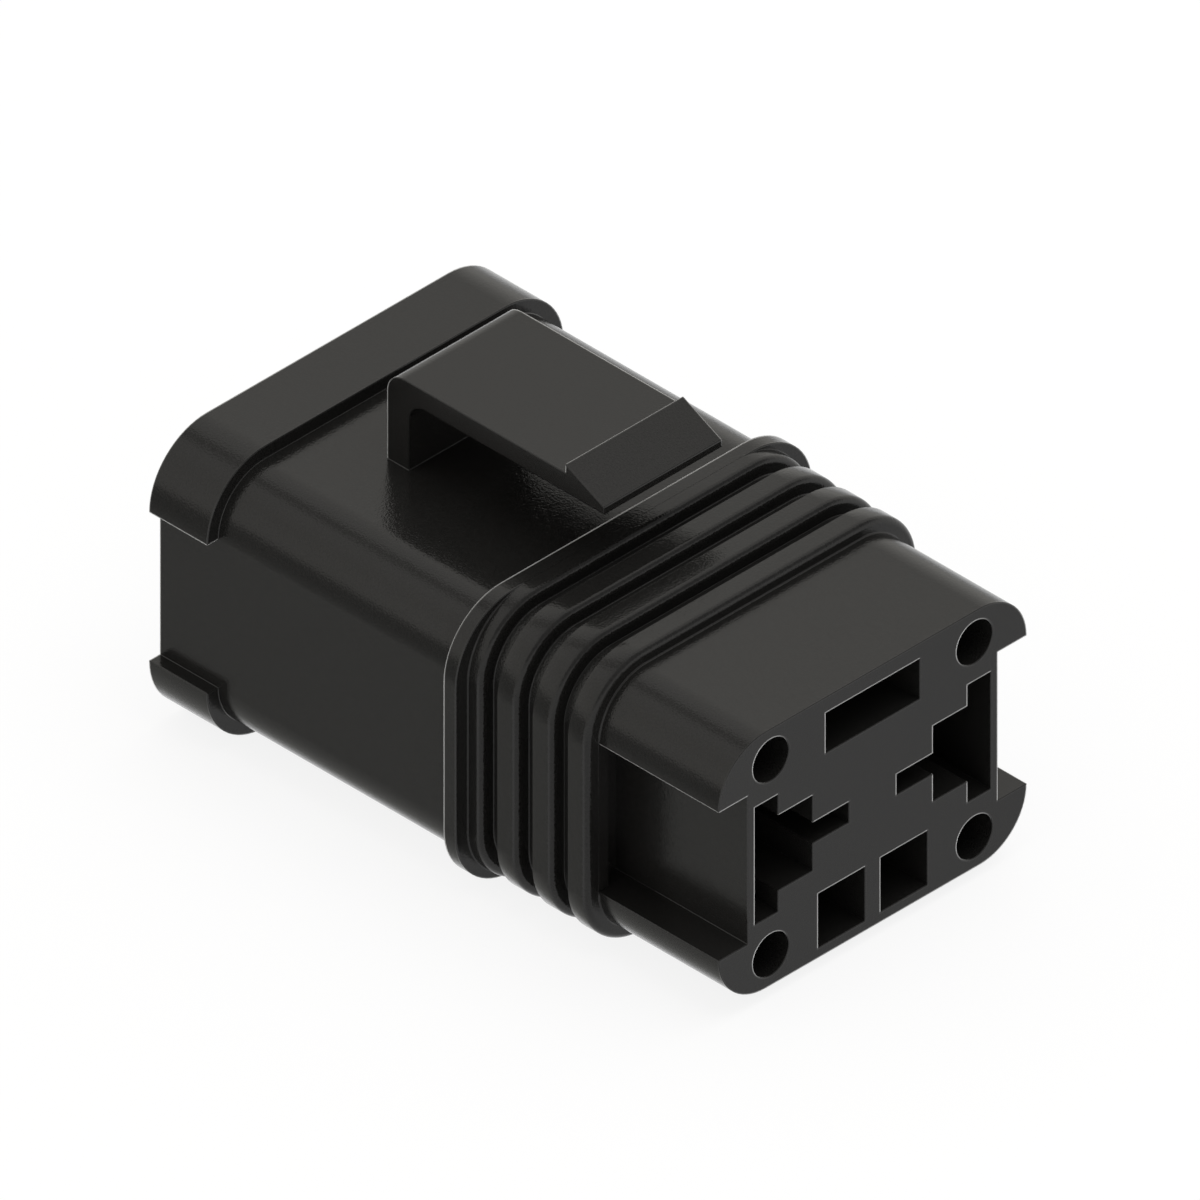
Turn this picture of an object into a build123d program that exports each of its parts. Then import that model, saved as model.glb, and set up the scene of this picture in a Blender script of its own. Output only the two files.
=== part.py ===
from build123d import *
from math import hypot
import os

# Two-way sealed cable connector housing, in millimetres.
# +X points out of the mating face, +Y runs across the width and +Z points up.
# The origin is under the middle of the part, on the plane that it rests on.

# Stations along the plug, the first two measured back from the mating face
overall_length = 45.0
skirt_length = 9.9
flange_setback = 19.7
flange_thickness = 1.0
hood_length = 4.8

# Sections of the body
body_height = 18.3
body_corner_radius = 3.85
front_width = 25.4
rear_step = 1.1
collar_rise = 0.9

# Guide channel in each side of the front body
channel_depth = 2.4
channel_length = 10.9

# Terminal cavities, each a stack of three slots that narrows towards the middle of the plug
cavity_wall = 0.55
blade_slot_width = 1.95
blade_slot_height = 8.4
barrel_slot_width = 2.85
barrel_slot_height = 5.4
tongue_slot_width = 3.0
tongue_slot_height = 1.5

# Round wire entries behind the cavities
wire_bore_length = 14.0
wire_bore_clearance = 0.25
wire_bore_lead_in = 0.5

# Blind pockets that core out the mating face
pocket_end_wall = 1.2
outer_pocket_wall = 0.7
square_pocket_side = 3.9
square_pocket_web = 1.25
corner_hole_radius = 1.5
corner_hole_inset = 4.3
top_pocket_wall = 1.1
top_pocket_width = 7.8
top_pocket_height = 2.9

# Latch, moulded on top of the rear body
latch_width = 9.7
latch_hood_gap = 5.0
latch_leg_thickness = 1.8
latch_clearance = 4.9
latch_arm_thickness = 1.4
latch_outer_radius = 1.4
latch_inner_radius = 1.3
catch_setback = 20.5
catch_rise = 0.6
catch_ramp_length = 3.2
nose_thickness = 0.5

# Perimeter seal
seal_wall = 0.8
seal_clearance = 0.05
rib_count = 4
rib_width = 1.5
flange_rib_width = 1.05
rib_side_rise = 1.0
rib_lead_in = 0.3

# Derived stations
mating_face = overall_length / 2
rear_face = -overall_length / 2
seal_front = mating_face - skirt_length
flange_front = mating_face - flange_setback
flange_rear = flange_front - flange_thickness
hood_front = rear_face + hood_length

# Derived sections
rear_width = front_width + 2 * rear_step
side_flat = body_height - 2 * body_corner_radius
collar_width = rear_width + 2 * collar_rise
collar_height = body_height + 2 * collar_rise
collar_corner_radius = body_corner_radius + collar_rise
gland_width = front_width - 2 * seal_wall
gland_height = body_height - 2 * seal_wall
gland_corner_radius = body_corner_radius - seal_wall
axis_height = collar_height / 2
body_top = axis_height + body_height / 2

# Each cavity starts one wall inside the floor of its guide channel
blade_edge = front_width / 2 - channel_depth - cavity_wall
barrel_edge = blade_edge - blade_slot_width
tongue_edge = barrel_edge - barrel_slot_width
cavity_start = tongue_edge - tongue_slot_width

# Each wire entry is centred on the circle round its cavity's four outermost corners
tongue_reach = cavity_start**2 + (tongue_slot_height / 2) ** 2
blade_reach = blade_edge**2 + (blade_slot_height / 2) ** 2
wire_bore_offset = (blade_reach - tongue_reach) / (2 * (blade_edge - cavity_start))
cavity_corner_radius = hypot(blade_edge - wire_bore_offset, blade_slot_height / 2)
wire_bore_radius = cavity_corner_radius + wire_bore_clearance

# The lead-in takes no more than a quarter of the web between the two wire entries
wire_bore_web = 2 * (wire_bore_offset - wire_bore_radius)
bore_mouth_chamfer = min(wire_bore_lead_in, wire_bore_web / 4)


def section_plane(station):
    """Plane square to the plug's axis, with its own x across the width and its own y upwards."""
    return Plane(origin=(station, 0, axis_height), x_dir=(0, 1, 0), z_dir=(1, 0, 0))


with BuildPart() as housing:
    # Rear body, from the wire entries up to the flange
    with BuildSketch(section_plane(rear_face)):
        RectangleRounded(rear_width, body_height, body_corner_radius)
    extrude(amount=flange_rear - rear_face)

    # Flange that backs the seal
    with BuildSketch(section_plane(flange_rear)):
        RectangleRounded(collar_width, collar_height, collar_corner_radius)
    extrude(amount=flange_thickness)

    # Gland that carries the seal, stepped down by the seal's wall
    with BuildSketch(section_plane(flange_front)):
        RectangleRounded(gland_width, gland_height, gland_corner_radius)
    extrude(amount=seal_front - flange_front)

    # Front skirt, from the seal to the mating face
    with BuildSketch(section_plane(seal_front)):
        RectangleRounded(front_width, body_height, body_corner_radius)
    extrude(amount=skirt_length)

    # Rear hood, a raised collar that leaves the flat sides open
    with BuildSketch(section_plane(rear_face)):
        RectangleRounded(collar_width, collar_height, collar_corner_radius)
        Rectangle(collar_width, side_flat, mode=Mode.SUBTRACT)
    extrude(amount=hood_length)

    # Guide channels, as tall as the flat of each side
    with BuildSketch(section_plane(mating_face)):
        with GridLocations(front_width - channel_depth, 0, 2, 1):
            Rectangle(channel_depth, side_flat)
    extrude(amount=-channel_length, mode=Mode.SUBTRACT)

    # Terminal cavities, from the mating face to the wire entries
    with BuildSketch(section_plane(mating_face)):
        with Locations((blade_edge - blade_slot_width / 2, 0)):
            Rectangle(blade_slot_width, blade_slot_height)
        with Locations((barrel_edge - barrel_slot_width / 2, 0)):
            Rectangle(barrel_slot_width, barrel_slot_height)
        with Locations((tongue_edge - tongue_slot_width / 2, 0)):
            Rectangle(tongue_slot_width, tongue_slot_height)
        mirror(about=Plane.YZ)
    extrude(amount=wire_bore_length - overall_length, mode=Mode.SUBTRACT)

    # Wire entries in the rear face, each with a lead-in for its cable seal
    with BuildSketch(section_plane(rear_face)):
        with GridLocations(2 * wire_bore_offset, 0, 2, 1):
            Circle(wire_bore_radius)
    extrude(amount=wire_bore_length, mode=Mode.SUBTRACT)
    bore_mouths = housing.edges().group_by(Axis.X)[0].filter_by(lambda edge: edge.is_closed)
    chamfer(bore_mouths, bore_mouth_chamfer)

    # Blind pockets in the mating face
    with BuildSketch(section_plane(mating_face)):
        top_pocket_lift = body_height / 2 - top_pocket_wall - top_pocket_height / 2
        with Locations((0, top_pocket_lift)):
            Rectangle(top_pocket_width, top_pocket_height)
        square_pocket_drop = body_height / 2 - outer_pocket_wall - square_pocket_side / 2
        with Locations((0, -square_pocket_drop)):
            with GridLocations(square_pocket_side + square_pocket_web, 0, 2, 1):
                Rectangle(square_pocket_side, square_pocket_side)
        corner_hole_spacing_y = front_width - 2 * corner_hole_inset
        corner_hole_spacing_z = body_height - 2 * (outer_pocket_wall + corner_hole_radius)
        with GridLocations(corner_hole_spacing_y, corner_hole_spacing_z, 2, 2):
            Circle(corner_hole_radius)
    extrude(amount=pocket_end_wall - skirt_length, mode=Mode.SUBTRACT)

    # Latch: a leg on the rear body and an arm that reaches forward to a ramped catch
    leg_rear = hood_front + latch_hood_gap
    leg_front = leg_rear + latch_leg_thickness
    arm_underside = body_top + latch_clearance
    arm_top = arm_underside + latch_arm_thickness
    catch_face = mating_face - catch_setback
    nose_face = catch_face + catch_ramp_length
    with BuildSketch(Plane.XZ) as latch_profile:
        with BuildLine():
            Polyline(
                (leg_rear, body_top),
                (leg_rear, arm_top),
                (catch_face, arm_top),
                (catch_face, arm_top + catch_rise),
                (nose_face, arm_underside + nose_thickness),
                (nose_face, arm_underside),
                (leg_front, arm_underside),
                (leg_front, body_top),
                close=True,
            )
        make_face()
        outer_corner = latch_profile.vertices().sort_by_distance((leg_rear, arm_top))[0]
        fillet(outer_corner, latch_outer_radius)
        inner_corner = latch_profile.vertices().sort_by_distance((leg_front, arm_underside))[0]
        fillet(inner_corner, latch_inner_radius)
    extrude(amount=latch_width / 2, both=True)

housing.part.label = "housing"


with BuildPart() as perimeter_seal:
    # Sleeve in the gland, flush with the front body
    seal_length = seal_front - flange_front
    with BuildSketch(section_plane(flange_front)):
        RectangleRounded(front_width, body_height, body_corner_radius)
    extrude(amount=seal_length)

    # Ribs, each with a lead-in on its front edge; the last one runs into the flange
    rib_pitch = (seal_length - flange_rib_width) / (rib_count - 1)
    rib_section_width = front_width + 2 * rib_side_rise
    for index in range(rib_count):
        rib_front = seal_front - index * rib_pitch
        rib_rear = max(rib_front - rib_width, flange_front)
        with BuildSketch(section_plane(rib_rear)):
            RectangleRounded(rib_section_width, collar_height, collar_corner_radius)
        extrude(amount=rib_front - rib_rear)
        leading_face = perimeter_seal.faces(Select.LAST).filter_by(Axis.X).sort_by(Axis.X)[-1]
        chamfer(leading_face.outer_wire().edges(), rib_lead_in)

    # Opening that stretches over the gland
    with BuildSketch(section_plane(flange_front)):
        RectangleRounded(
            gland_width + 2 * seal_clearance,
            gland_height + 2 * seal_clearance,
            gland_corner_radius + seal_clearance,
        )
    extrude(amount=seal_length, mode=Mode.SUBTRACT)

perimeter_seal.part.label = "perimeter_seal"


os.makedirs("parts", exist_ok=True)
for piece in (housing, perimeter_seal):
    export_step(piece.part, f"parts/{piece.part.label}.step")
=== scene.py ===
# %% [markdown]
# # A black cable connector housing, dressed for a studio picture
#
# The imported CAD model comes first. It is the frame: its pieces are already in place, in metres,
# with +X out of the mating face, +Y across the width and +Z up. Nothing of it is moved. The scene
# adds what the CAD solids leave out: softened edges, a moulded seal, three finishes and a studio.

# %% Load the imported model
from math import cos, radians, sin

import bpy
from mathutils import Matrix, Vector


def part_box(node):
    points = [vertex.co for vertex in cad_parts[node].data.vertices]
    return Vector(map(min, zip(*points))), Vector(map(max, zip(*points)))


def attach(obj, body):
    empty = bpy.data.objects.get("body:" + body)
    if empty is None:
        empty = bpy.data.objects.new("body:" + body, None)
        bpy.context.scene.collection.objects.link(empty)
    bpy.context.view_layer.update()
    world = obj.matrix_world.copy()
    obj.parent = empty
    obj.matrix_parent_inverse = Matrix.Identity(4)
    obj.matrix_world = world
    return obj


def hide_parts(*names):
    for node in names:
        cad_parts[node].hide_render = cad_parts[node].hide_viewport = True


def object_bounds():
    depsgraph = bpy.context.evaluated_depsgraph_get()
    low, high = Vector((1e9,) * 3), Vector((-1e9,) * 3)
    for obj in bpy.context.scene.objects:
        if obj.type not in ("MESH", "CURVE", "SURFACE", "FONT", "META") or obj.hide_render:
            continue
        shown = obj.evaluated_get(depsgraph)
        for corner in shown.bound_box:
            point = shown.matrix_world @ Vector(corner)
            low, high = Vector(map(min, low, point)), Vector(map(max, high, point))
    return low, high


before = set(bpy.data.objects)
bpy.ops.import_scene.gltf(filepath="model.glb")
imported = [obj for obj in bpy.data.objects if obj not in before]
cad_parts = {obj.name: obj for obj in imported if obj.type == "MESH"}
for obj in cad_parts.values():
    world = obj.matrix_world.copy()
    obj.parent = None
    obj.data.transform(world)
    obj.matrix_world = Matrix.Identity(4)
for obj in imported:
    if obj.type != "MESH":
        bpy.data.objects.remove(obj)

mm = 0.001

cad_low, cad_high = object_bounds()
print("CAD box in mm:", [round((high - low) / mm, 2) for low, high in zip(cad_low, cad_high)])

# %% [markdown]
# ## The camera
#
# The photograph is an isometric view: equal angles to all three axes and no perspective, so
# lines that are parallel on the part stay parallel in the picture. A perspective camera far away
# with a long lens comes close, but an orthographic camera is exact and is set by three things:
# the direction it looks in, the point in the middle of the picture and the width that it covers.

# %% Camera
view_direction = Vector((1, -1, 1)).normalized()
view_centre = Vector((-2.92, 2.92, 10.05)) * mm
view_width = 70.0 * mm
camera_distance = 0.4
nearest_seen = 0.01

camera_data = bpy.data.cameras.new("isometric_camera")
camera_data.type = "ORTHO"
camera_data.ortho_scale = view_width
camera_data.clip_start = nearest_seen
camera = bpy.data.objects.new("isometric_camera", camera_data)
camera.location = view_centre + view_direction * camera_distance
camera.rotation_euler = view_direction.to_track_quat("Z", "Y").to_euler()
bpy.context.scene.collection.objects.link(camera)
bpy.context.scene.camera = camera
print("camera at", [round(value, 3) for value in camera.location])

# %% [markdown]
# ## Shared texture: moulded grain
#
# Tool steel is never quite smooth, and both the plastic and the rubber copy it. The grain is far
# finer than a millimetre, so it could be an image or real displacement, but a procedural noise
# needs no files and keeps its scale wherever the part is used. It is a node group because all
# three finishes share it: each sets the size of the grain and takes its own amount. It reads
# object coordinates, which are metres here. It gives a height for a Bump node, slow patches that
# let the roughness wander and fine flecks that mix two close colours.

# %% Moulded grain as a node group
grain_detail = 1.0
grain_roughness = 0.6
patch_detail = 2.0
patch_low, patch_high = 0.3, 0.7
fleck_gain, fleck_offset = 1.6, -0.3


def moulded_grain_group():
    """Grain height, slow patches and fine flecks, from object coordinates in metres."""
    group = bpy.data.node_groups.new("moulded_grain", "ShaderNodeTree")
    sockets = group.interface
    for name, low, high, start in (
        ("Grains per Metre", 0.0, 100000.0, 9000.0),
        ("Patches per Metre", 0.0, 10000.0, 120.0),
        ("Patch Contrast", 0.0, 1.0, 0.5),
    ):
        made = sockets.new_socket(name, in_out="INPUT", socket_type="NodeSocketFloat")
        made.default_value, made.min_value, made.max_value = start, low, high
    for name in ("Height", "Patches", "Flecks"):
        sockets.new_socket(name, in_out="OUTPUT", socket_type="NodeSocketFloat")

    nodes, links = group.nodes, group.links
    entry = nodes.new("NodeGroupInput")
    leave = nodes.new("NodeGroupOutput")
    place = nodes.new("ShaderNodeTexCoord")

    grain = nodes.new("ShaderNodeTexNoise")
    grain.inputs["Detail"].default_value = grain_detail
    grain.inputs["Roughness"].default_value = grain_roughness
    links.new(place.outputs["Object"], grain.inputs["Vector"])
    links.new(entry.outputs["Grains per Metre"], grain.inputs["Scale"])
    links.new(grain.outputs["Fac"], leave.inputs["Height"])

    patches = nodes.new("ShaderNodeTexNoise")
    patches.inputs["Detail"].default_value = patch_detail
    links.new(place.outputs["Object"], patches.inputs["Vector"])
    links.new(entry.outputs["Patches per Metre"], patches.inputs["Scale"])
    spread = nodes.new("ShaderNodeMapRange")
    links.new(patches.outputs["Fac"], spread.inputs["Value"])
    links.new(entry.outputs["Patch Contrast"], spread.inputs["To Max"])
    spread.inputs["From Min"].default_value = patch_low
    spread.inputs["From Max"].default_value = patch_high
    links.new(spread.outputs["Result"], leave.inputs["Patches"])

    flecks = nodes.new("ShaderNodeMath")
    flecks.operation = "MULTIPLY_ADD"
    links.new(grain.outputs["Fac"], flecks.inputs[0])
    flecks.inputs[1].default_value = fleck_gain
    flecks.inputs[2].default_value = fleck_offset
    links.new(flecks.outputs["Value"], leave.inputs["Flecks"])
    return group


moulded_grain = moulded_grain_group()
grain_sockets = moulded_grain.interface.items_tree
grain_outputs = [socket.name for socket in grain_sockets if socket.in_out == "OUTPUT"]
print("group", moulded_grain.name, "puts out", grain_outputs)

# %% [markdown]
# ## Three finishes
#
# The housing is a glass-filled thermoplastic, nearly black, with a satin skin. The seal is a
# moulded rubber that was chosen to match it. On such dark stuff the eye reads the gloss and not
# the colour, so the finish is set by the reflection: a low specular level, a low roughness that
# wanders a little, and a bump that breaks the edge of each reflection into fine specks.
#
# The third finish is for the housing's rounded edges, which come out of the mould smoother than
# the faces. They are so narrow that they show only as pale lines, and only along the far side of
# a face, where the round turns away from the eye. Wider rounds would show more, but they would
# change the outline. So the line is made by gloss: some sheen, and a coat whose weight grows from
# Layer Weight's Facing, so that it is there only where the surface turns away.

# %% Shared values of the finishes
colour_dark = (0.0075, 0.0073, 0.0069)
colour_light = (0.0145, 0.0141, 0.0134)
plastic_ior = 1.45
sheen_roughness = 0.3
patches_per_metre = 150.0
roughness_wander = 0.02
rim_start, rim_full = 0.45, 0.7
rim_roughness = 0.8
rim_ior = 4.0


# %% Build the finishes
def moulded_finish(name, shine, soft, grains, bump, sheen=0.0, rim=0.0):
    """Nearly black moulded material: two close colours, a wandering roughness and a fine grain."""
    material = bpy.data.materials.new(name)
    material.use_nodes = True
    nodes, links = material.node_tree.nodes, material.node_tree.links
    shader = nodes["Principled BSDF"]
    shader.inputs["IOR"].default_value = plastic_ior
    shader.inputs["Specular IOR Level"].default_value = shine
    shader.inputs["Sheen Weight"].default_value = sheen
    shader.inputs["Sheen Roughness"].default_value = sheen_roughness

    texture = nodes.new("ShaderNodeGroup")
    texture.node_tree = moulded_grain
    texture.inputs["Grains per Metre"].default_value = grains
    texture.inputs["Patches per Metre"].default_value = patches_per_metre
    texture.inputs["Patch Contrast"].default_value = 1.0

    colour = nodes.new("ShaderNodeMix")
    colour.data_type = "RGBA"
    colour.inputs["A"].default_value = (*colour_dark, 1.0)
    colour.inputs["B"].default_value = (*colour_light, 1.0)
    links.new(texture.outputs["Flecks"], colour.inputs["Factor"])
    links.new(colour.outputs["Result"], shader.inputs["Base Color"])

    wander = nodes.new("ShaderNodeMapRange")
    wander.inputs["To Min"].default_value = soft - roughness_wander
    wander.inputs["To Max"].default_value = soft + roughness_wander
    links.new(texture.outputs["Patches"], wander.inputs["Value"])
    links.new(wander.outputs["Result"], shader.inputs["Roughness"])

    if rim:
        turning = nodes.new("ShaderNodeLayerWeight")
        glance = nodes.new("ShaderNodeMapRange")
        glance.inputs["From Min"].default_value = rim_start
        glance.inputs["From Max"].default_value = rim_full
        glance.inputs["To Max"].default_value = rim
        links.new(turning.outputs["Facing"], glance.inputs["Value"])
        links.new(glance.outputs["Result"], shader.inputs["Coat Weight"])
        shader.inputs["Coat Roughness"].default_value = rim_roughness
        shader.inputs["Coat IOR"].default_value = rim_ior

    relief = nodes.new("ShaderNodeBump")
    relief.inputs["Strength"].default_value = 1.0
    relief.inputs["Distance"].default_value = bump
    links.new(texture.outputs["Height"], relief.inputs["Height"])
    links.new(relief.outputs["Normal"], shader.inputs["Normal"])
    return material


housing_plastic = moulded_finish(
    "housing_plastic_satin",
    shine=0.36,
    soft=0.12,
    grains=8000.0,
    bump=0.014 * mm,
)
housing_edge = moulded_finish(
    "housing_edge_polish",
    shine=0.5,
    soft=0.18,
    grains=8000.0,
    bump=0.003 * mm,
    sheen=1.0,
    rim=1.0,
)
seal_rubber = moulded_finish(
    "seal_rubber_satin",
    shine=0.36,
    soft=0.12,
    grains=8000.0,
    bump=0.014 * mm,
)
print("finishes:", housing_plastic.name, housing_edge.name, seal_rubber.name)

# %% [markdown]
# ## The housing
#
# The housing is one moulded solid, and the CAD node already has its exact shape. Rebuilding it by
# hand would risk its fit, so the node stays and only gets modifiers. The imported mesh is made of
# loose triangles, so Weld joins them and a planar Decimate gives back whole faces. Bevel then
# rounds the edges, as a mould does, and those small rounds are what catch the light in thin
# lines. Weighted Normal keeps the large faces flat next to them.
#
# A real mould doesn't round all edges alike: outer edges are wider, inner corners tighter, and
# the rear end of a guide channel is a clean cut. Edges could be picked by number, but numbers
# change with each pack. Geometry Nodes pick them by where they are and by which way they turn,
# so first comes a helper that says what is inside a box.

# %% The housing node, and stations along the plug
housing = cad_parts["housing"]
seal_low, seal_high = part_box("perimeter_seal")
axis_height = (seal_low.z + seal_high.z) / 2

channel_length = 10.9 * mm
flange_thickness = 1.0 * mm
mating_face, rear_face = cad_high.x, cad_low.x
channel_end = mating_face - channel_length
flange_rear = seal_low.x - flange_thickness
print("housing triangles:", len(housing.data.polygons))
print("height of the plug's axis in mm:", round(axis_height / mm, 2))
print("rear end of the guide channels in mm:", round(channel_end / mm, 2))
print("rear side of the flange in mm:", round(flange_rear / mm, 2))


# %% Choose edges and faces by the box that they are in
def box_round_axis(rear, front, half_width, half_height, lift=0.0):
    """Middle and half size of a box round the plug's axis, or lifted off it."""
    middle = Vector(((rear + front) / 2, 0.0, axis_height + lift))
    return middle, Vector(((front - rear) / 2, half_width, half_height))


def new_geometry_tree(name):
    """Geometry node tree with its geometry input and output, ready for a modifier."""
    tree = bpy.data.node_groups.new(name, "GeometryNodeTree")
    for way in ("INPUT", "OUTPUT"):
        tree.interface.new_socket("Geometry", in_out=way, socket_type="NodeSocketGeometry")
    entry = tree.nodes.new("NodeGroupInput")
    leave = tree.nodes.new("NodeGroupOutput")
    return tree, entry.outputs["Geometry"], leave.inputs["Geometry"]


def inside_box(tree, middle, half_size):
    """Socket that is true where the middle of an edge or a face is inside the box."""
    place = tree.nodes.new("GeometryNodeInputPosition")
    offset = tree.nodes.new("ShaderNodeVectorMath")
    offset.operation = "SUBTRACT"
    tree.links.new(place.outputs["Position"], offset.inputs[0])
    offset.inputs[1].default_value = middle
    distance = tree.nodes.new("ShaderNodeVectorMath")
    distance.operation = "ABSOLUTE"
    tree.links.new(offset.outputs["Vector"], distance.inputs[0])
    within = tree.nodes.new("FunctionNodeCompare")
    within.data_type = "VECTOR"
    within.mode = "ELEMENT"
    within.operation = "LESS_THAN"
    tree.links.new(distance.outputs["Vector"], within.inputs["A"])
    within.inputs["B"].default_value = half_size
    return within.outputs["Result"]


# %% [markdown]
# ## How wide each edge is rounded
#
# Bevel can take each edge's width from an attribute, as a share of the widest radius. Painting
# that by hand would be lost with the next pack, so it is worked out from a few boxes. The faces
# are then set smooth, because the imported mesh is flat, and only the edges that stay unrounded
# are kept sharp.

# %% Radii of the edges, and the boxes of the special ones
edge_radius = 0.09 * mm
inner_corner_radius = 0.05 * mm
channel_edge_radius = 0.05 * mm
flange_edge_radius = 0.11 * mm
sharp_angle = radians(30)

near = 0.05 * mm
past_sides, past_channel = 13.0 * mm, 5.4 * mm
past_flange_sides, past_flange_top = 15.0 * mm, 10.2 * mm
in_channel = box_round_axis(channel_end + near, mating_face - near, past_sides, past_channel)
at_channel_end = box_round_axis(channel_end - near, channel_end + near, past_sides, past_channel)
at_flange_rear = box_round_axis(
    rear=flange_rear - near,
    front=flange_rear + near,
    half_width=past_flange_sides,
    half_height=past_flange_top,
)
shares = [round(radius / flange_edge_radius, 2) for radius in (edge_radius, inner_corner_radius)]
print("outer edges and inner corners, as shares of the widest radius:", shares)


# %% Compare, pick and set smooth in a geometry tree
def beyond(tree, turn):
    """Socket that is true where an edge turns by more than the sharp angle."""
    angle = tree.nodes.new("GeometryNodeInputMeshEdgeAngle")
    node = tree.nodes.new("FunctionNodeCompare")
    node.data_type = "FLOAT"
    node.operation = "GREATER_THAN"
    tree.links.new(angle.outputs[turn], node.inputs["A"])
    node.inputs["B"].default_value = sharp_angle
    return node.outputs["Result"]


def pick(tree, condition, no, yes):
    """Switch between two values, each a number or a socket."""
    node = tree.nodes.new("GeometryNodeSwitch")
    node.input_type = "FLOAT"
    tree.links.new(condition, node.inputs["Switch"])
    for name, value in (("False", no), ("True", yes)):
        if isinstance(value, float):
            node.inputs[name].default_value = value
        else:
            tree.links.new(value, node.inputs[name])
    return node.outputs["Output"]


def set_smooth(tree, shape, domain, smooth, selection=None):
    """The shape with its faces or edges set smooth or sharp."""
    node = tree.nodes.new("GeometryNodeSetShadeSmooth")
    node.domain = domain
    node.inputs["Shade Smooth"].default_value = smooth
    tree.links.new(shape, node.inputs["Geometry"])
    if selection:
        tree.links.new(selection, node.inputs["Selection"])
    return node.outputs["Geometry"]


# %% Store each edge's share of the widest radius
def share_edges(piece, widest):
    """Store every edge's share of the widest radius, and leave only the unrounded ones sharp."""
    tree, shape, leave = new_geometry_tree("edge_shares")
    creased = beyond(tree, "Unsigned Angle")
    convex = beyond(tree, "Signed Angle")
    ends_channel = inside_box(tree, *at_channel_end)
    on_flange = inside_box(tree, *at_flange_rear)
    share = pick(tree, on_flange, edge_radius / widest, flange_edge_radius / widest)
    share = pick(tree, convex, inner_corner_radius / widest, share)
    share = pick(tree, inside_box(tree, *in_channel), share, channel_edge_radius / widest)
    share = pick(tree, ends_channel, share, 0.0)
    share = pick(tree, creased, 0.0, share)

    # Bevel looks for its weights under this name
    store = tree.nodes.new("GeometryNodeStoreNamedAttribute")
    store.data_type = "FLOAT"
    store.domain = "EDGE"
    store.inputs["Name"].default_value = "bevel_weight_edge"
    tree.links.new(shape, store.inputs["Geometry"])
    tree.links.new(share, store.inputs["Value"])

    unrounded = tree.nodes.new("FunctionNodeBooleanMath")
    unrounded.operation = "AND"
    tree.links.new(creased, unrounded.inputs[0])
    tree.links.new(ends_channel, unrounded.inputs[1])
    shape = set_smooth(tree, store.outputs["Geometry"], "FACE", True)
    shape = set_smooth(tree, shape, "EDGE", True)
    shape = set_smooth(tree, shape, "EDGE", False, unrounded.outputs["Boolean"])
    tree.links.new(shape, leave)
    piece.modifiers.new("edge_shares", "NODES").node_group = tree


# %% Soften the edges of the housing
weld_distance = 0.001 * mm
flat_angle = radians(0.5)
edge_segments = 2
edge_profile = 0.95
flat_face_weight = 80
plain_slot, polished_slot = 0, 1


def flatten_faces(piece):
    """Normals that keep the large faces flat next to the narrow ones."""
    normals = piece.modifiers.new("flat_faces", "WEIGHTED_NORMAL")
    normals.weight = flat_face_weight
    normals.keep_sharp = True


def soften_edges(piece, widest):
    """Whole faces out of packed triangles, then rounded edges."""
    weld = piece.modifiers.new("join_triangles", "WELD")
    weld.merge_threshold = weld_distance
    whole = piece.modifiers.new("whole_faces", "DECIMATE")
    whole.decimate_type = "DISSOLVE"
    whole.angle_limit = flat_angle
    share_edges(piece, widest)
    bevel = piece.modifiers.new("moulded_edges", "BEVEL")
    bevel.width = widest
    bevel.segments = edge_segments
    bevel.profile = edge_profile
    bevel.loop_slide = False
    bevel.material = polished_slot
    bevel.limit_method = "WEIGHT"
    bevel.use_clamp_overlap = False
    bevel.miter_outer = "MITER_ARC"
    flatten_faces(piece)


soften_edges(housing, flange_edge_radius)
print("modifiers:", [modifier.name for modifier in housing.modifiers])

# %% [markdown]
# ## Polish only where it shows
#
# Bevel gives every strip that it makes the polished finish. Deep in the openings, under the
# latch arm and beside the seal the real edges show no pale line, so faces whose middle is in one
# of three boxes go back to the plain finish. A vertex group could do this too, but it would
# change the CAD mesh, and a modifier doesn't.

# %% Keep the polished finish off the edges inside
mouth_strip = 0.2 * mm

in_openings = box_round_axis(
    rear=rear_face + mouth_strip,
    front=mating_face - mouth_strip,
    half_width=10.2 * mm,
    half_height=8.6 * mm,
)
under_latch_arm = box_round_axis(
    rear=-10.95 * mm,
    front=5.35 * mm,
    half_width=5.0 * mm,
    half_height=2.0 * mm,
    lift=12.35 * mm,
)
beside_seal = box_round_axis(
    rear=11.3 * mm,
    front=12.9 * mm,
    half_width=12.9 * mm,
    half_height=9.4 * mm,
)


def plain_inside(piece, boxes):
    """Back to the plain finish for faces inside any of the boxes."""
    tree, shape, leave = new_geometry_tree("plain_inside")
    for box in boxes:
        plain = tree.nodes.new("GeometryNodeSetMaterialIndex")
        plain.inputs["Material Index"].default_value = plain_slot
        tree.links.new(shape, plain.inputs["Geometry"])
        tree.links.new(inside_box(tree, *box), plain.inputs["Selection"])
        shape = plain.outputs["Geometry"]
    tree.links.new(shape, leave)
    piece.modifiers.new("plain_inside", "NODES").node_group = tree


plain_inside(housing, (in_openings, under_latch_arm, beside_seal))
housing.data.materials.clear()
housing.data.materials.append(housing_plastic)
housing.data.materials.append(housing_edge)

dressed = housing.evaluated_get(bpy.context.evaluated_depsgraph_get())
polished = sum(face.material_index == polished_slot for face in dressed.data.polygons)
print("housing faces:", len(dressed.data.polygons), "of which polished edges:", polished)

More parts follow.
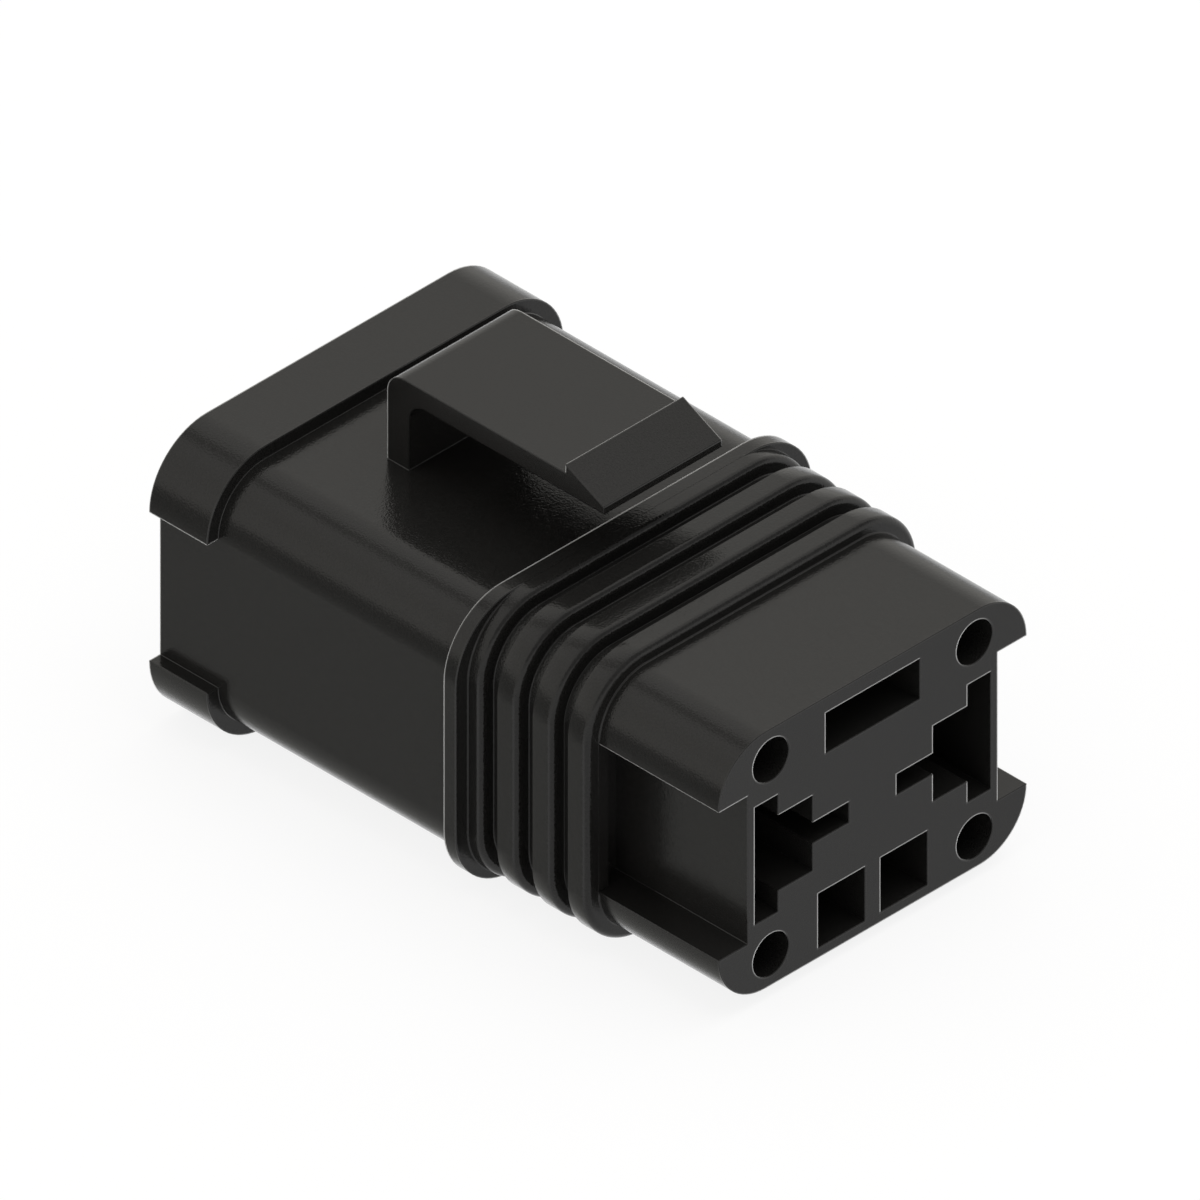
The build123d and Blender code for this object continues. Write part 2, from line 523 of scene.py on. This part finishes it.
# %% [markdown]
# ## The perimeter seal
#
# The seal is a rubber sleeve with four ribs. It squeezes against the mating housing, so its rib
# lips are rounded, and each rib rises from the sleeve through a small hollow, its root. Four
# bevelled extrusions would come close, but their roots would have to be blended one by one. A
# loft makes all of it at once: one profile along the plug says how far the surface stands out at
# each station, and each station becomes a rounded rectangle. Rings are then joined one to the
# next, and the last ones run back inside the sleeve to close it.
#
# The front rib's root laps a tenth of a millimetre over the edge of the skirt, as squeezed
# rubber does. It doesn't on the flat sides, where a guide channel ends at the seal and the lap
# would hang in the air. The second rib shows a tighter root than the others.

# %% Seal sizes, from the CAD node
seal_front, seal_rear = seal_high.x, seal_low.x
rib_width_y = seal_high.y - seal_low.y
rib_height_z = seal_high.z - seal_low.z

rib_count = 4
rib_width = 1.57 * mm
last_rib_width = 1.05 * mm
rib_face_lead = 0.05 * mm
rib_side_rise = 1.0 * mm
rib_top_rise = 0.9 * mm
rib_corner = 4.75 * mm
lip_radius = 0.42 * mm
rear_lip_radius = 0.04 * mm
root_radius = 0.1 * mm
second_root_radius = 0.04 * mm
groove_top_sink = 0.12 * mm
seam_overlap = 0.08 * mm
sleeve_wall = 0.75 * mm
rib_pitch = (seal_front - seal_rear - last_rib_width) / (rib_count - 1)
print("rib pitch in mm:", round(rib_pitch / mm, 3))


# %% Profile of the seal along the plug
lip_steps = 6
root_steps = 3


def arc(centre, radius, start, end, steps):
    """Points of an arc in (station, rise), angles in degrees from the station axis."""
    for step in range(steps + 1):
        turn = radians(start + (end - start) * step / steps)
        yield centre[0] + radius * cos(turn), centre[1] + radius * sin(turn)


def rib_profile(face, rear, crest, root, run_out):
    """One rib from its front root to its rear root, in (station, rise)."""
    lip_centre = (face - lip_radius, crest - lip_radius)
    points = [*arc((face + root, root), root, 270, 180, root_steps)]
    points += arc(lip_centre, lip_radius, 0, 90, lip_steps)
    if run_out:
        return points
    rear_lip_centre = (rear + rear_lip_radius, crest - rear_lip_radius)
    points += arc(rear_lip_centre, rear_lip_radius, 90, 180, root_steps)
    points += arc((rear - root_radius, root_radius), root_radius, 0, -90, root_steps)
    return points


crest_rise = (rib_side_rise + rib_top_rise) / 2
seal_profile = []
for number in range(rib_count):
    rib_front = seal_front - number * rib_pitch
    is_last = number == rib_count - 1
    rib_face = rib_front if number == 0 else rib_front + rib_face_lead
    rib_rear = rib_front - rib_width
    root = second_root_radius if number == 1 else root_radius
    seal_profile += rib_profile(rib_face, rib_rear, crest_rise, root, is_last)
print("profile stations:", len(seal_profile))


# %% Rounded-rectangle rings
corner_steps = 20
crease_angle = radians(50)


def ring(station, half_width, half_height, corner):
    """Rounded rectangle square to the plug's axis, as points in order."""
    points = []
    for side_y, side_z, start in ((1, 1, 0), (-1, 1, 90), (-1, -1, 180), (1, -1, 270)):
        centre_y = side_y * (half_width - corner)
        centre_z = side_z * (half_height - corner)
        for step in range(corner_steps + 1):
            turn = radians(start + 90 * step / corner_steps)
            y = centre_y + corner * cos(turn)
            z = axis_height + centre_z + corner * sin(turn)
            points.append((station, y, z))
    return points


def loft(name, rings):
    """Closed skin through a closed row of rings with equal point counts."""
    count = len(rings[0])
    points = [point for one in rings for point in one]
    faces = []
    for index in range(len(rings)):
        after = (index + 1) % len(rings)
        for step in range(count):
            beside = (step + 1) % count
            faces.append((
                index * count + step,
                index * count + beside,
                after * count + beside,
                after * count + step,
            ))
    mesh = bpy.data.meshes.new(name)
    mesh.from_pydata(points, [], faces)
    mesh.validate()
    mesh.shade_smooth()
    mesh.set_sharp_from_angle(angle=crease_angle)
    piece = bpy.data.objects.new(name, mesh)
    bpy.context.scene.collection.objects.link(piece)
    return piece


# %% Loft the seal
flat_margin = 0.01 * mm


def seal_ring(station, rise, climb=0.0):
    """Section of the seal where its surface stands out by rise, on a crest of crest_rise."""
    share = 1 - rise / crest_rise
    top_rise = rib_top_rise + (groove_top_sink if seal_rear < station < seal_front else 0)
    points = ring(
        station,
        rib_width_y / 2 - rib_side_rise * share + climb,
        rib_height_z / 2 - top_rise * share,
        rib_corner - rib_top_rise * share,
    )
    if station <= seal_front:
        return points
    # Past the seal's front, the flat sides have a guide channel in front of them and no skirt
    side_flat = rib_height_z / 2 - rib_corner + flat_margin
    return [(seal_front if abs(z - axis_height) < side_flat else x, y, z) for x, y, z in points]


rings = [seal_ring(station, rise) for station, rise in seal_profile]
rear_root_centre = (seal_rear + root_radius, root_radius)
for station, climb in arc(rear_root_centre, root_radius, 270, 180, root_steps):
    rings.append(seal_ring(station, crest_rise, climb))
rings.append(seal_ring(seal_rear - seam_overlap, crest_rise, root_radius))
rings.append(seal_ring(seal_rear - seam_overlap, -sleeve_wall))
rings.append(seal_ring(seal_front, -sleeve_wall))
seal = loft("seal_with_rounded_ribs", rings)
flatten_faces(seal)
seal.data.materials.append(seal_rubber)
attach(seal, "root")
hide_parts("perimeter_seal")
print("seal faces:", len(seal.data.polygons))

# %% [markdown]
# ## The studio
#
# A dark satin part shows what surrounds it. A plain white surround would leave every face the
# same grey, so the studio has large soft areas of different tone, as white and grey boards round
# a table would give. The floor is plain and pale and keeps the part's shadow. Its own white comes
# from Light Path's camera ray, and not from more light on the part. Glossy rays pass it by,
# because the surround further on already has the tones that the part reflects from below.

# %% Floor
floor_size = 6.0


def level_sheet(name, size, height):
    """Square sheet at one height, marked as part of the stage."""
    half = size / 2
    corners = [(x * half, y * half, height) for x, y in ((-1, -1), (1, -1), (1, 1), (-1, 1))]
    mesh = bpy.data.meshes.new(name)
    mesh.from_pydata(corners, [], [(0, 1, 2, 3)])
    sheet = bpy.data.objects.new(name, mesh)
    bpy.context.scene.collection.objects.link(sheet)
    return sheet


floor = level_sheet("studio_floor", floor_size, 0.0)
floor.visible_glossy = False
print("floor side in m:", floor_size)

# %% Paint of the floor: matt for the light, and a plain glow for the eye
floor_colour = (0.95, 0.95, 0.96, 1.0)
floor_glow = 0.86

floor_paint = bpy.data.materials.new("pale_floor")
floor_paint.use_nodes = True
paint = floor_paint.node_tree.nodes["Principled BSDF"]
paint.inputs["Base Color"].default_value = floor_colour
paint.inputs["Roughness"].default_value = 1.0
paint.inputs["Specular IOR Level"].default_value = 0.0
floor_nodes, floor_links = floor_paint.node_tree.nodes, floor_paint.node_tree.links
glow = floor_nodes.new("ShaderNodeEmission")
rays = floor_nodes.new("ShaderNodeLightPath")
seen = rays.outputs["Is Camera Ray"]
for kind in ("Is Glossy Ray", "Is Transmission Ray"):
    either = floor_nodes.new("ShaderNodeMath")
    either.operation = "MAXIMUM"
    floor_links.new(seen, either.inputs[0])
    floor_links.new(rays.outputs[kind], either.inputs[1])
    seen = either.outputs["Value"]
lift = floor_nodes.new("ShaderNodeMath")
lift.operation = "MULTIPLY"
lift.inputs[1].default_value = floor_glow
floor_links.new(seen, lift.inputs[0])
both = floor_nodes.new("ShaderNodeMixShader")
floor_links.new(lift.outputs["Value"], both.inputs["Fac"])
floor_links.new(paint.outputs["BSDF"], both.inputs[1])
floor_links.new(glow.outputs["Emission"], both.inputs[2])
floor_links.new(both.outputs["Shader"], floor_nodes["Material Output"].inputs["Surface"])
floor.data.materials.append(floor_paint)
print("floor material:", floor_paint.name)

# %% [markdown]
# ## The underlay
#
# A low view of a small part can start from under the floor's level, and would then see the grey
# of the world below. The floor could be lowered, but then the part would float. A white sheet
# under the floor closes the gap, and throws no light or shadow.

# %% White underlay
underlay_depth = 30 * mm
underlay = level_sheet("studio_underlay", floor_size, -underlay_depth)
underlay.visible_diffuse = False
underlay.visible_glossy = False
underlay.visible_shadow = False
underlay_paint = bpy.data.materials.new("white_underlay")
underlay_paint.use_nodes = True
white = underlay_paint.node_tree.nodes.new("ShaderNodeEmission")
surface = underlay_paint.node_tree.nodes["Material Output"].inputs["Surface"]
underlay_paint.node_tree.links.new(white.outputs["Emission"], surface)
underlay.data.materials.append(underlay_paint)
print("underlay at", underlay_depth / mm, "mm under the floor")

# %% [markdown]
# ## The surround
#
# The world's colour depends only on the direction of each ray, so it gives the same reflections
# wherever the camera stands. It could be an image of a real studio, but a few ramps and smooth
# steps need no file and each can be set alone. The left and the right side have a ramp of tones
# each, by height. White areas stand for the pale floor behind and in front of the part, and a
# grey strip overhead for the gap between two ceiling panels.

# %% Tones of the surround, by height: -1 is straight down, 0 level and 1 straight up
left_tones = (
    (-1.0, (0.5, 0.5, 0.48)),
    (-0.57, (0.46, 0.46, 0.44)),
    (-0.42, (0.28, 0.28, 0.27)),
    (-0.3, (0.26, 0.26, 0.25)),
    (-0.05, (0.3, 0.3, 0.29)),
    (0.07, (0.93, 0.91, 0.86)),
    (0.3, (1.0, 0.98, 0.93)),
    (0.58, (0.94, 0.92, 0.87)),
    (0.75, (1.0, 0.98, 0.94)),
    (1.0, (0.9, 0.89, 0.87)),
)
right_tones = (
    (-1.0, (0.7, 0.7, 0.7)),
    (-0.5, (0.72, 0.72, 0.72)),
    (-0.25, (0.9, 0.9, 0.89)),
    (0.0, (1.0, 0.99, 0.97)),
    (0.22, (1.0, 0.99, 0.97)),
    (0.5, (0.33, 0.33, 0.33)),
    (1.0, (0.4, 0.4, 0.4)),
)
floor_white = (1.0, 1.0, 1.0, 1.0)
gap_grey = (0.45, 0.44, 0.42, 1.0)
print("tones on the left and on the right:", len(left_tones), len(right_tones))

# %% Smooth steps between the areas: an axis of the direction, where it starts, where it ends
horizon = ("Z", -0.1, 0.1)
left_to_right_above = ("X", 0.15, 0.3)
left_to_right_below = ("X", -0.5, -0.15)
far_floor = (("Y", -0.1, 0.35), ("X", 0.35, -0.1), ("Z", 0.05, -0.15))
front_floor = (("Y", -0.6, -0.78), ("Z", -0.25, -0.45), ("X", -0.45, -0.25), ("X", 0.35, 0.05))
overhead_gap = (("Y", -0.18, -0.04), ("Y", 0.14, 0.0), ("Z", 0.5, 0.7))


# %% An empty world that knows the direction of each ray
world = bpy.data.worlds.new("soft_studio")
world.use_nodes = True
world_nodes, world_links = world.node_tree.nodes, world.node_tree.links
direction = world_nodes.new("ShaderNodeTexCoord")
parts = world_nodes.new("ShaderNodeSeparateXYZ")
world_links.new(direction.outputs["Generated"], parts.inputs["Vector"])
bpy.context.scene.world = world
print("world:", world.name)


# %% Ramps, steps, areas and mixes of the world
def ramp(stops):
    """Ramp of tones over the height of the direction."""
    height = world_nodes.new("ShaderNodeMapRange")
    height.inputs["From Min"].default_value = -1.0
    world_links.new(parts.outputs["Z"], height.inputs["Value"])
    tones = world_nodes.new("ShaderNodeValToRGB")
    world_links.new(height.outputs["Result"], tones.inputs["Fac"])
    elements = tones.color_ramp.elements
    while len(elements) > 1:
        elements.remove(elements[-1])
    for number, (level, tone) in enumerate(stops):
        place = (level + 1) / 2
        element = elements[0] if number == 0 else elements.new(place)
        element.position = place
        element.color = (*tone, 1.0)
    return tones.outputs["Color"]


def step_along(axis, start, end):
    """Smooth step from 0 at start to 1 at end of one part of the direction."""
    node = world_nodes.new("ShaderNodeMapRange")
    node.interpolation_type = "SMOOTHSTEP"
    node.inputs["From Min"].default_value = start
    node.inputs["From Max"].default_value = end
    world_links.new(parts.outputs[axis], node.inputs["Value"])
    return node.outputs["Result"]


def area(steps):
    """Product of smooth steps: 1 inside one area of the surround and 0 outside it."""
    inside = step_along(*steps[0])
    for step in steps[1:]:
        node = world_nodes.new("ShaderNodeMath")
        node.operation = "MULTIPLY"
        world_links.new(inside, node.inputs[0])
        world_links.new(step_along(*step), node.inputs[1])
        inside = node.outputs["Value"]
    return inside


def mix(factor, first, second, data_type="RGBA"):
    """Mix of two sockets, or of a socket and a plain colour."""
    node = world_nodes.new("ShaderNodeMix")
    node.data_type = data_type
    world_links.new(factor, node.inputs["Factor"])
    world_links.new(first, node.inputs["A"])
    if isinstance(second, tuple):
        node.inputs["B"].default_value = second
    else:
        world_links.new(second, node.inputs["B"])
    return node.outputs["Result"]


# %% Left and right, then the white floor and the grey gap over them
below = step_along(*left_to_right_below)
above = step_along(*left_to_right_above)
rightness = mix(step_along(*horizon), below, above, "FLOAT")
tone = mix(rightness, ramp(left_tones), ramp(right_tones))
for steps, colour in (
    (far_floor, floor_white),
    (front_floor, floor_white),
    (overhead_gap, gap_grey),
):
    tone = mix(area(steps), tone, colour)
surround = world_nodes["Background"]
world_links.new(tone, surround.inputs["Color"])
surround.inputs["Strength"].default_value = 1.0
print("world nodes:", len(world_nodes))

# %% [markdown]
# ## The lamp
#
# The world lights the part already, but so evenly that its shadow is faint. A sun would give a
# hard shadow, and the photograph has none. One large soft lamp overhead lifts the top a little
# and grounds the part. Glossy rays don't see it, because its square reflection would stand on
# the top like a window.

# %% Lamp
lamp_side = 0.6
lamp_power = 2.4
lamp_place = Vector((0.15, 0.1, 0.7))

lamp_data = bpy.data.lights.new("overhead_softbox", "AREA")
lamp_data.shape = "SQUARE"
lamp_data.size = lamp_side
lamp_data.energy = lamp_power
lamp = bpy.data.objects.new("overhead_softbox", lamp_data)
lamp.location = lamp_place
lamp.rotation_euler = (lamp_place - view_centre).to_track_quat("Z", "Y").to_euler()
lamp.visible_glossy = False
bpy.context.scene.collection.objects.link(lamp)
print("lamp at", [round(value, 2) for value in lamp.location])

# %% [markdown]
# ## Plain colours
#
# The Standard view shows each colour as it is written.

# %% Plain colour handling
bpy.context.scene.view_settings.view_transform = "Standard"
print("view:", bpy.context.scene.view_settings.view_transform)
